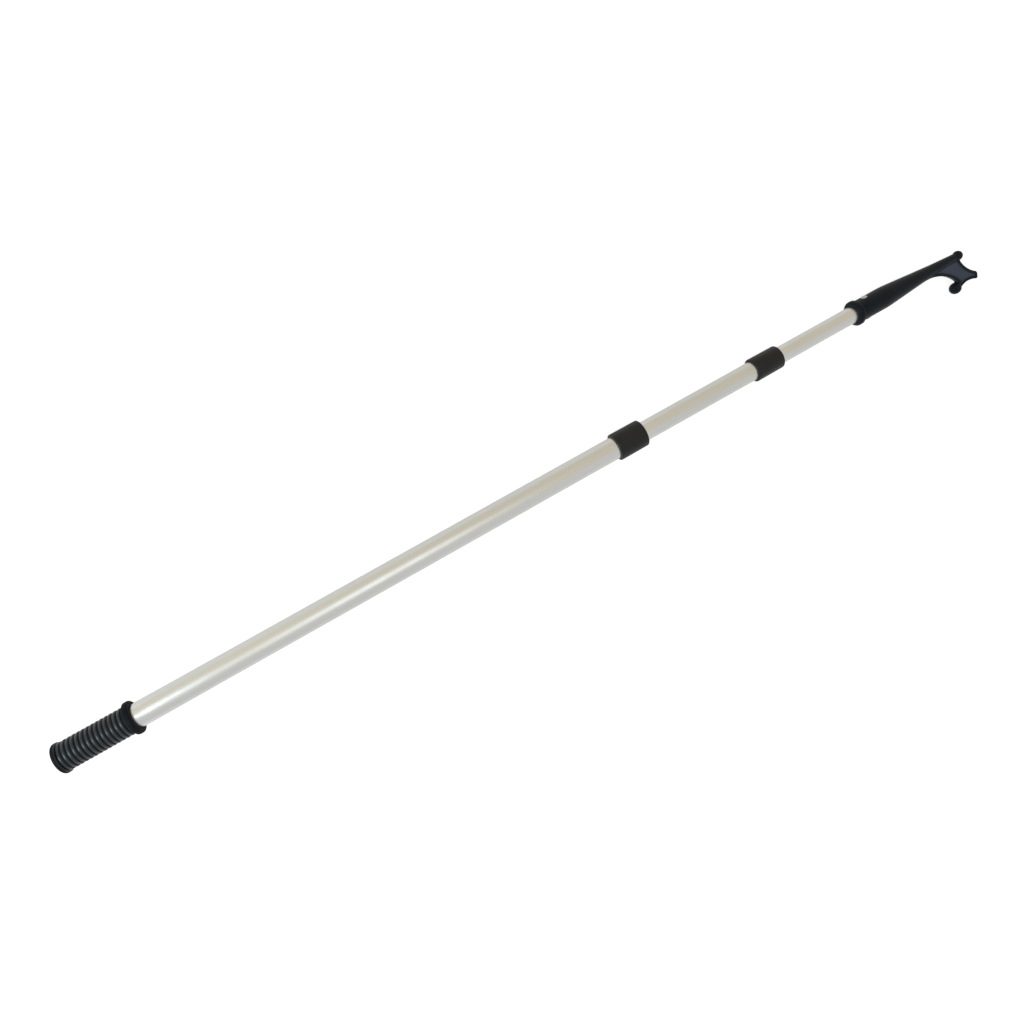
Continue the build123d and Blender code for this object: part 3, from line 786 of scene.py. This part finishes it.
def surface_cells(field, low, high, cell):
    """Quads round the zero of a field sampled on a grid, one point in each cell that it passes."""
    axes = [np.arange(start, end + cell, cell) for start, end in zip(low, high)]
    across, up = np.meshgrid(axes[1], axes[2], indexing="ij")
    values = np.stack([field(np.full_like(across, station), across, up) for station in axes[0]])
    inside = values < 0
    shape = tuple(count - 1 for count in inside.shape)
    offsets = [(i, j, k) for i in (0, 1) for j in (0, 1) for k in (0, 1)]
    held = sum(inside[i:i + shape[0], j:j + shape[1], k:k + shape[2]].astype(np.int8) for i, j, k in offsets)
    cells = np.argwhere((held > 0) & (held < 8))
    number = np.full(shape, -1)
    number[tuple(cells.T)] = np.arange(len(cells))
    total = np.zeros((len(cells), 3))
    crossings = np.zeros(len(cells))
    for first in offsets:
        for axis in range(3):
            if first[axis]:
                continue
            second = tuple(value + (index == axis) for index, value in enumerate(first))
            value_first = values[tuple((cells + first).T)]
            value_second = values[tuple((cells + second).T)]
            crossed = (value_first < 0) != (value_second < 0)
            share = value_first / np.where(crossed, value_first - value_second, 1)
            point = np.array(first) + share[:, None] * (np.array(second) - np.array(first))
            total[crossed] += point[crossed]
            crossings += crossed
    points = np.array(low) + (cells + total / crossings[:, None]) * cell
    faces = []
    for axis in range(3):
        other = [index for index in range(3) if index != axis]
        near = [slice(None)] * 3
        far = [slice(None)] * 3
        near[axis] = slice(0, -1)
        far[axis] = slice(1, None)
        edges = np.argwhere(inside[tuple(near)] != inside[tuple(far)])
        corners = []
        for shift in ((0, 0), (-1, 0), (-1, -1), (0, -1)):
            place = edges.copy()
            place[:, other[0]] += shift[0]
            place[:, other[1]] += shift[1]
            corners.append(number[tuple(place.T)])
        faces.append(np.stack(corners, axis=1))
    return points, np.concatenate(faces)


def settle(points, field, rounds=3, probe=0.05):
    """Move points along the field's slope until they lie on its zero."""
    for _ in range(rounds):
        value = field(*points.T)
        slope = np.stack([field(*(points + np.eye(3)[axis] * probe).T) - value for axis in range(3)], axis=1)
        slope /= probe
        steep = np.maximum((slope ** 2).sum(axis=1), 0.25)
        points = points - slope * (value / steep)[:, None]
    return points


def on_pole(points):
    """The head's own points brought to their place on the pole, rolled so that the hook lies low."""
    s, v, w = points.T
    y = -v * cos(HOOK_ROLL) - w * sin(HOOK_ROLL)
    z = -v * sin(HOOK_ROLL) + w * cos(HOOK_ROLL)
    return np.stack([HEAD_MOUTH + s, y, z], axis=1)


def build_hook_head(material):
    """Moulded head: beaded socket, tapering spine, rimmed web, crown and two balls, all run together."""
    cell = 0.7
    low = (-1.0, -BEAD_RADIUS - 1.0, -BEAD_RADIUS - 1.0)
    high = (CROWN_END + 1.0, HOOK_BALL[1] + HOOK_BALL[2] + 1.0, BEAD_RADIUS + 1.0)
    points, faces = surface_cells(head_field, low, high, cell)
    points = on_pole(settle(points, head_field))
    mesh = smooth_mesh("hook_head_moulding", points, faces.tolist())
    piece_from_mesh("hook_head_moulding", mesh, material, "inner_section", "head_plastic", "hook_head")


def across_pole(mesh, station):
    """Swing a mesh turned about the pole's axis to stand across it, in the hook's plane."""
    swing = Matrix.Rotation(pi / 2, 4, "Z")
    roll = Matrix.Rotation(HOOK_ROLL, 4, "X")
    place = Matrix.Translation((station * MM, 0, 0))
    mesh.transform(roll @ place @ swing)
    return mesh


def build_rivet(material):
    """Rivet through socket and tube: low domed head with a soft flat crown, and a hammered tail."""
    tail = -RIVET_SEAT - WASHER_THICKNESS
    outline = soften([
        (tail - 2.2, 0, 0), (tail - 2.2, 2.0, 0.8), (tail - 0.9, 3.8, 0.6), (tail, 3.7, 0.3),
        (tail, RIVET_SHANK, 0), (RIVET_SEAT, RIVET_SHANK, 0), (RIVET_SEAT, 4.7, 0.3),
        (RIVET_SEAT + 0.8, 4.55, 0.7), (RIVET_SEAT + 1.8, 3.1, 2.2), (RIVET_SEAT + 2.3, 1.0, 1.5),
        (RIVET_SEAT + 2.3, 0, 0)])
    mesh = across_pole(lathe("hook_rivet_turned", outline, steps=RIVET_STEPS), HEAD_MOUTH + RIVET_STATION)
    piece_from_mesh("hook_rivet_turned", mesh, material, "inner_section", "rivet_metal", "hook_rivet")


def build_rivet_washer(material):
    """Small washer under the rivet's tail."""
    back = -RIVET_SEAT - WASHER_THICKNESS
    outline = soften([(back, 2.45, 0.1), (back, 5.0, 0.3), (-RIVET_SEAT, 5.0, 0.3),
                      (-RIVET_SEAT, 2.45, 0.1)], closed=True)
    mesh = lathe("rivet_washer_turned", outline, closed=True, steps=RIVET_STEPS)
    mesh = across_pole(mesh, HEAD_MOUTH + RIVET_STATION)
    piece_from_mesh("rivet_washer_turned", mesh, material, "inner_section", "rivet_metal", "rivet_washer")


# ================================================================ stage
WARM_NEAR = (0.80, 0.77, 0.66)  # towards the grip's end
WARM_FAR = (0.67, 0.63, 0.53)  # towards the hook's end
COOL_SIDE = (0.68, 0.69, 0.70)
PAST_GRIP = (0.80, 0.82, 0.86)
OVERHEAD = (1.50, 1.57, 1.62)
LIGHT_PLACE = (-0.46, 0.12, 0.50)
LIGHT_AIM = (0.05, 0.0, 0.0)
LIGHT_SIZE = (0.40, 0.22)
LIGHT_WATTS = 3.4
LIGHT_COLOUR = (0.74, 0.89, 1.0)
FLOOR_REACH = 6000.0
CAMERA_LENS = 26.0
CAMERA_DISTANCE = 1.0
CAMERA_LEAN = radians(28.0) - HOOK_ROLL  # from straight above, towards the hook's side
CAMERA_SWING = radians(9.0)  # towards the hook's end
CAMERA_TURN = radians(29.35)  # view turned, so that the pole climbs to the right
CAMERA_STATION = 0.6356
CAMERA_ASIDE = 0.0077


def place_camera():
    """Camera above the pole, as wide as a short lens sees it."""
    along = Vector((1, 0, 0))
    down = Vector((0, -sin(CAMERA_LEAN), -cos(CAMERA_LEAN)))
    side = Vector((0, -cos(CAMERA_LEAN), sin(CAMERA_LEAN)))
    sight = sin(CAMERA_SWING) * along + cos(CAMERA_SWING) * down
    level = cos(CAMERA_SWING) * along - sin(CAMERA_SWING) * down
    right = cos(CAMERA_TURN) * level + sin(CAMERA_TURN) * side
    up = sin(CAMERA_TURN) * level - cos(CAMERA_TURN) * side
    place = CAMERA_STATION * along - CAMERA_DISTANCE * sight + CAMERA_ASIDE * side
    camera = bpy.data.objects.new("camera", bpy.data.cameras.new("camera"))
    camera.data.lens = CAMERA_LENS
    camera.data.sensor_width = 36.0
    camera.data.clip_start = 0.01
    pose = Matrix((right, up, -sight)).transposed().to_4x4()
    pose.translation = place
    camera.matrix_world = pose
    bpy.context.scene.collection.objects.link(camera)
    bpy.context.scene.camera = camera


def grip_light():
    """Soft rectangular light past the grip, its length along the pole."""
    data = bpy.data.lights.new("grip_light", "AREA")
    data.shape = "RECTANGLE"
    data.size, data.size_y = LIGHT_SIZE
    data.energy = LIGHT_WATTS
    data.color = LIGHT_COLOUR
    light = bpy.data.objects.new("grip_light", data)
    facing = (Vector(LIGHT_AIM) - Vector(LIGHT_PLACE)).normalized()
    level = (Vector((1, 0, 0)) - facing * facing.x).normalized()
    upright = facing.cross(level)
    pose = Matrix((level, -upright, -facing)).transposed().to_4x4()
    pose.translation = Vector(LIGHT_PLACE)
    light.matrix_world = pose
    bpy.context.scene.collection.objects.link(light)


def build_floor(material):
    """Pale floor that the grip's stop and the hook's ball both rest on."""
    stop_station = high_mm("hand_grip").x - STOP_LENGTH / 2
    stop_low = -radius_mm("hand_grip")
    ball_low = -HOOK_BALL[1] * sin(HOOK_ROLL) - HOOK_BALL[2]
    slope = (ball_low - stop_low) / (HEAD_MOUTH + HOOK_BALL[0] - stop_station)
    corners = []
    for side_x, side_y in ((-1, -1), (1, -1), (1, 1), (-1, 1)):
        x = side_x * FLOOR_REACH
        corners.append((x, side_y * FLOOR_REACH, stop_low + slope * (x - stop_station)))
    floor = bpy.data.objects.new("floor", smooth_mesh("floor", corners, [(0, 1, 2, 3)]))
    floor.data.materials.append(material)
    bpy.context.scene.collection.objects.link(floor)


def surround():
    """Pale studio all round: warm behind the pole, cool in front, brighter overhead and past the grip."""
    world = bpy.data.worlds.new("surround")
    world.use_nodes = True
    tree = world.node_tree
    apart = tree.nodes.new("ShaderNodeSeparateXYZ")
    tree.links.new(tree.nodes.new("ShaderNodeTexCoord").outputs["Generated"], apart.inputs[0])
    along, aside = apart.outputs["X"], apart.outputs["Y"]
    warm = mix_colours(tree, ramp(tree, along, -0.35, 0.35), WARM_FAR, WARM_NEAR)
    front = ramp(tree, math_node(tree, "MULTIPLY", aside, -1.0), 0.05, 0.50)
    colour = mix_colours(tree, front, COOL_SIDE, warm)
    off_middle = math_node(tree, "ABSOLUTE", math_node(tree, "SUBTRACT", aside, 0.15))
    middle = math_node(tree, "SUBTRACT", 1.0, ramp(tree, off_middle, 0.05, 0.55))
    off_top = math_node(tree, "ABSOLUTE", math_node(tree, "ADD", along, 0.05))
    overhead = math_node(tree, "SUBTRACT", 1.0, ramp(tree, off_top, 0.04, 0.24))
    past_grip = ramp(tree, math_node(tree, "MULTIPLY", along, -1.0), 0.26, 0.44)
    colour = mix_colours(tree, math_node(tree, "MULTIPLY", middle, past_grip), PAST_GRIP, colour)
    colour = mix_colours(tree, math_node(tree, "MULTIPLY", middle, overhead), OVERHEAD, colour)
    background = tree.nodes["Background"]
    tree.links.new(colour, background.inputs["Color"])
    background.inputs["Strength"].default_value = 1.0
    bpy.context.scene.world = world


# ================================================================ the boat hook
rubber = grip_rubber()
collar_black = black_plastic("collar_plastic", (0.0045, 0.0045, 0.0048), 0.42, 0.0, 0.33)
# the head's paler panel colour is a painted reflection of overhead light, not the plastic's own colour
head_black = black_plastic("head_plastic", (0.0026, 0.0036, 0.0058), 0.40, HOOK_ROLL, 0.19,
                           sheen=(0.62, 0.80, 1.0), panel_painted_sheen=(0.045, 0.055, 0.080))
outer_finish = tube_aluminium("tube_aluminium_outer", 0.10, high_mm("hand_grip").x)
middle_finish = tube_aluminium("tube_aluminium_middle", 0.35, high_mm("outer_collar").x)
inner_finish = tube_aluminium("tube_aluminium_inner", 0.35, high_mm("middle_collar").x)
bright = plain_metal("rivet_metal", (0.58, 0.58, 0.58), 0.28, 900.0)
steel = plain_metal("steel", (0.56, 0.56, 0.55), 0.28, 1500.0)
nylon = pale_nylon()
ring = soft_rubber()

build_hand_grip(rubber)
build_tube("outer_tube_drawn", "outer_tube", OUTER_RADIUS, OUTER_BORE, "outer_section", outer_finish)
build_tube("middle_tube_drawn", "middle_tube", MIDDLE_RADIUS, MIDDLE_BORE, "middle_section", middle_finish)
build_tube("inner_tube_drawn", "inner_tube", INNER_RADIUS, INNER_BORE, "inner_section", inner_finish)
build_collar("outer_collar_moulding", "outer_collar", OUTER_RADIUS, MIDDLE_RADIUS, "outer_section",
             collar_black)
build_collar("middle_collar_moulding", "middle_collar", MIDDLE_RADIUS, INNER_RADIUS, "middle_section",
             collar_black)
build_hook_head(head_black)
build_rivet(bright)
build_rivet_washer(bright)

FINISH_OF_ENDING = {
    "butt_plug": collar_black,
    "end_plug": nylon,
    "plug_pin": steel,
    "stud": steel,
    "stud_nut": steel,
    "thrust_washer": nylon,
    "expander_sleeve": nylon,
    "drag_ring": ring,
    "cone_nut": nylon,
}
for node_name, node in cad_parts.items():
    for ending, material in FINISH_OF_ENDING.items():
        if node_name.endswith(ending):
            node.data.materials.clear()
            node.data.materials.append(material)

build_floor(pale_floor())
surround()
grip_light()
bpy.context.scene.view_settings.view_transform = "Standard"
place_camera()
